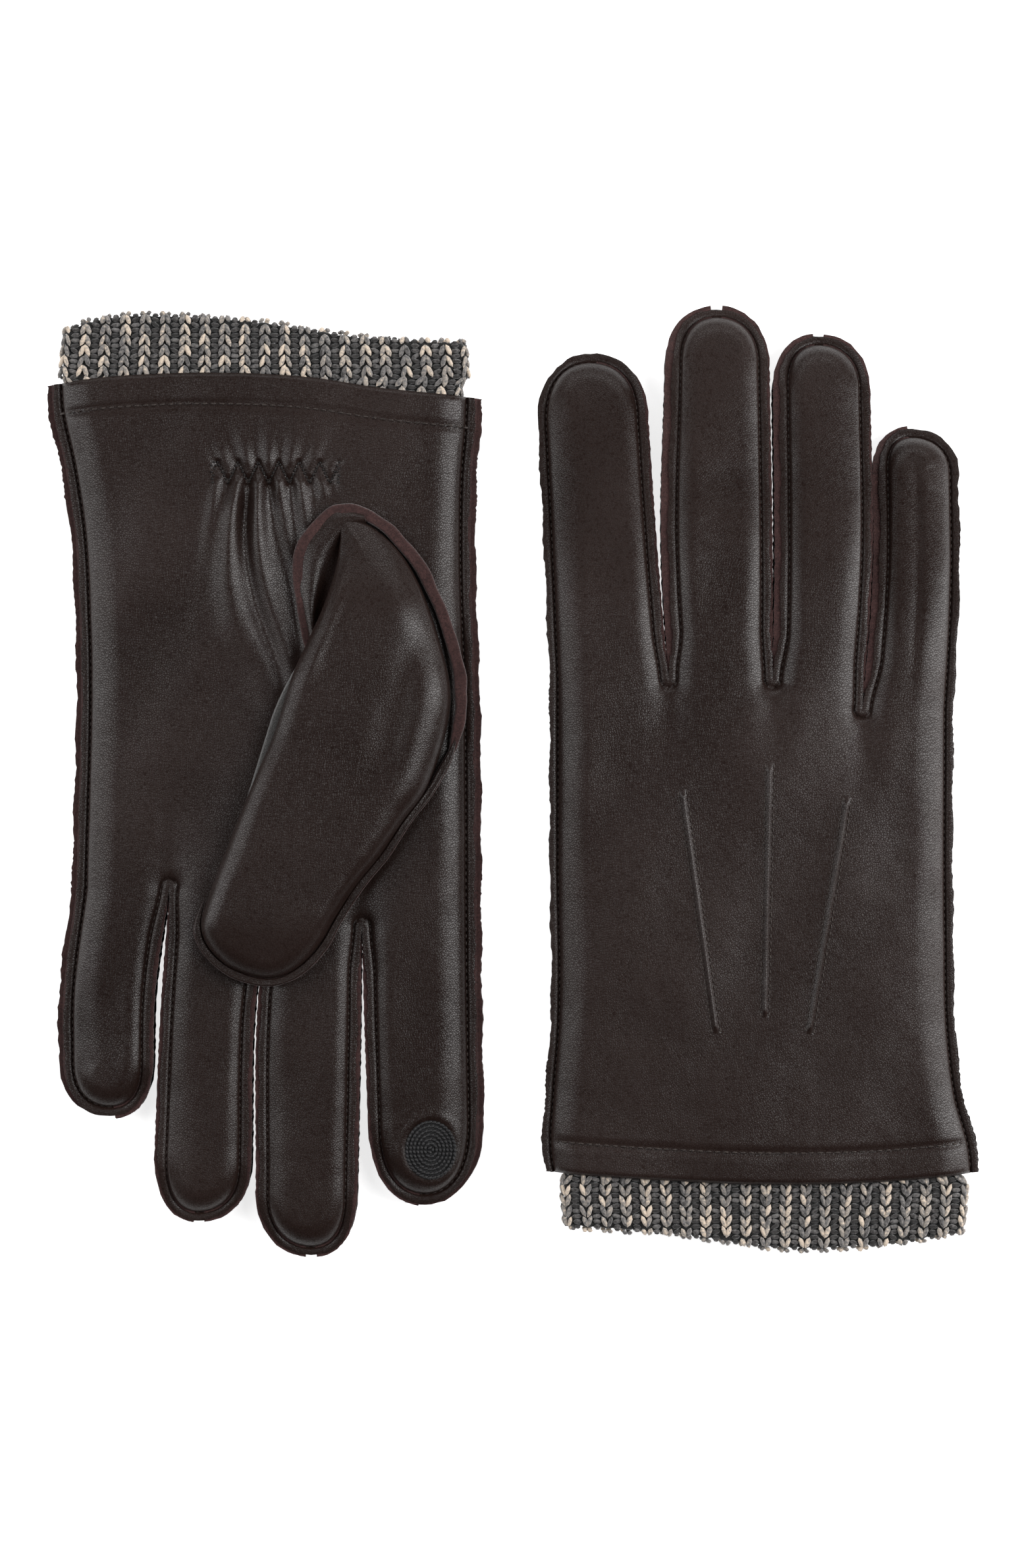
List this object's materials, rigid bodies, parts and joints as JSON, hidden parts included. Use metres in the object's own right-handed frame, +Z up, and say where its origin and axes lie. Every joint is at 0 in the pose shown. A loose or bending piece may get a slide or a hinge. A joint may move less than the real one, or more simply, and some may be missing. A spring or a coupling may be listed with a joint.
{
  "type": "touchscreen gloves",
  "caption": "Pair of lined dark leather gloves with knitted rib cuffs, side walls between the fingers, folded thumbs and a conductive patch on the index fingertip.",
  "frame": {"origin": "under the middle of the pair, on the surface it lies on", "axes": "+Z up, +Y along the right glove's fingers, +X towards the right glove"},
  "size_m": [0.2536, 0.261, 0.0243],
  "materials": {
    "leather": "fine pebbled nappa leather, very dark brown, soft sheen, raw suede edges",
    "lining_knit": "brushed knitted fleece, charcoal",
    "rib_knit": "marled one by one rib knit in grey, beige and charcoal yarn",
    "elastic": "flat woven elastic and black zigzag thread",
    "touch_thread": "black conductive thread in rings of chain stitch"
  },
  "bodies": {
    "left_hand": {"left_back_panel": "leather", "left_palm_panel": "leather", "left_fourchette_index_middle": "leather", "left_fourchette_middle_ring": "leather", "left_fourchette_ring_little": "leather", "left_hand_lining": "lining_knit", "left_wrist_elastic": "elastic", "left_rib_cuff": "rib_knit"},
    "left_index_finger": {"left_index_back_strip": "leather", "left_index_palm_strip": "leather", "left_index_lining": "lining_knit", "left_index_sidewall_by_middle": "leather", "left_touch_patch": "touch_thread"},
    "left_middle_finger": {"left_middle_back_strip": "leather", "left_middle_palm_strip": "leather", "left_middle_lining": "lining_knit", "left_middle_sidewall_by_index": "leather", "left_middle_sidewall_by_ring": "leather"},
    "left_ring_finger": {"left_ring_back_strip": "leather", "left_ring_palm_strip": "leather", "left_ring_lining": "lining_knit", "left_ring_sidewall_by_middle": "leather", "left_ring_sidewall_by_little": "leather"},
    "left_little_finger": {"left_little_back_strip": "leather", "left_little_palm_strip": "leather", "left_little_lining": "lining_knit", "left_little_sidewall_by_ring": "leather"},
    "left_thumb": {"left_thumb_leather": "leather", "left_thumb_lining": "lining_knit"},
    "right_hand": {"right_back_panel": "leather", "right_palm_panel": "leather", "right_fourchette_index_middle": "leather", "right_fourchette_middle_ring": "leather", "right_fourchette_ring_little": "leather", "right_hand_lining": "lining_knit", "right_wrist_elastic": "elastic", "right_rib_cuff": "rib_knit"},
    "right_index_finger": {"right_index_back_strip": "leather", "right_index_palm_strip": "leather", "right_index_lining": "lining_knit", "right_index_sidewall_by_middle": "leather", "right_touch_patch": "touch_thread"},
    "right_middle_finger": {"right_middle_back_strip": "leather", "right_middle_palm_strip": "leather", "right_middle_lining": "lining_knit", "right_middle_sidewall_by_index": "leather", "right_middle_sidewall_by_ring": "leather"},
    "right_ring_finger": {"right_ring_back_strip": "leather", "right_ring_palm_strip": "leather", "right_ring_lining": "lining_knit", "right_ring_sidewall_by_middle": "leather", "right_ring_sidewall_by_little": "leather"},
    "right_little_finger": {"right_little_back_strip": "leather", "right_little_palm_strip": "leather", "right_little_lining": "lining_knit", "right_little_sidewall_by_ring": "leather"},
    "right_thumb": {"right_thumb_leather": "leather", "right_thumb_lining": "lining_knit"}
  },
  "joints": [
    {"name": "right_glove_lift", "type": "slide", "parent": "left_hand", "child": "right_hand", "axis": [0, 0, 1], "range_m": [0, 0.12]},
    {"name": "left_index_bend", "type": "hinge", "parent": "left_hand", "child": "left_index_finger", "pos_m": [-0.02515, -0.05223, 0.013], "axis": [-1, 0, 0], "range_deg": [0, 75]},
    {"name": "left_middle_bend", "type": "hinge", "parent": "left_hand", "child": "left_middle_finger", "pos_m": [-0.05585, -0.06023, 0.013], "axis": [-1, 0, 0], "range_deg": [0, 75]},
    {"name": "left_ring_bend", "type": "hinge", "parent": "left_hand", "child": "left_ring_finger", "pos_m": [-0.08365, -0.05723, 0.013], "axis": [-1, 0, 0], "range_deg": [0, 75]},
    {"name": "left_little_bend", "type": "hinge", "parent": "left_hand", "child": "left_little_finger", "pos_m": [-0.10985, -0.04523, 0.013], "axis": [-1, 0, 0], "range_deg": [0, 75]},
    {"name": "left_thumb_open", "type": "hinge", "parent": "left_hand", "child": "left_thumb", "pos_m": [-0.01395, 0.01977, 0.013], "axis": [0, 1, 0], "range_deg": [0, 90]},
    {"name": "right_index_bend", "type": "hinge", "parent": "right_hand", "child": "right_index_finger", "pos_m": [0.02475, 0.05177, 0.0113], "axis": [-1, 0, 0], "range_deg": [0, 75]},
    {"name": "right_middle_bend", "type": "hinge", "parent": "right_hand", "child": "right_middle_finger", "pos_m": [0.05545, 0.05977, 0.0113], "axis": [-1, 0, 0], "range_deg": [0, 75]},
    {"name": "right_ring_bend", "type": "hinge", "parent": "right_hand", "child": "right_ring_finger", "pos_m": [0.08345, 0.05677, 0.0113], "axis": [-1, 0, 0], "range_deg": [0, 75]},
    {"name": "right_little_bend", "type": "hinge", "parent": "right_hand", "child": "right_little_finger", "pos_m": [0.10895, 0.04477, 0.0113], "axis": [-1, 0, 0], "range_deg": [0, 75]},
    {"name": "right_thumb_open", "type": "hinge", "parent": "right_hand", "child": "right_thumb", "pos_m": [0.01395, -0.02023, 0.0113], "axis": [0, 1, 0], "range_deg": [0, 90]}
  ]
}
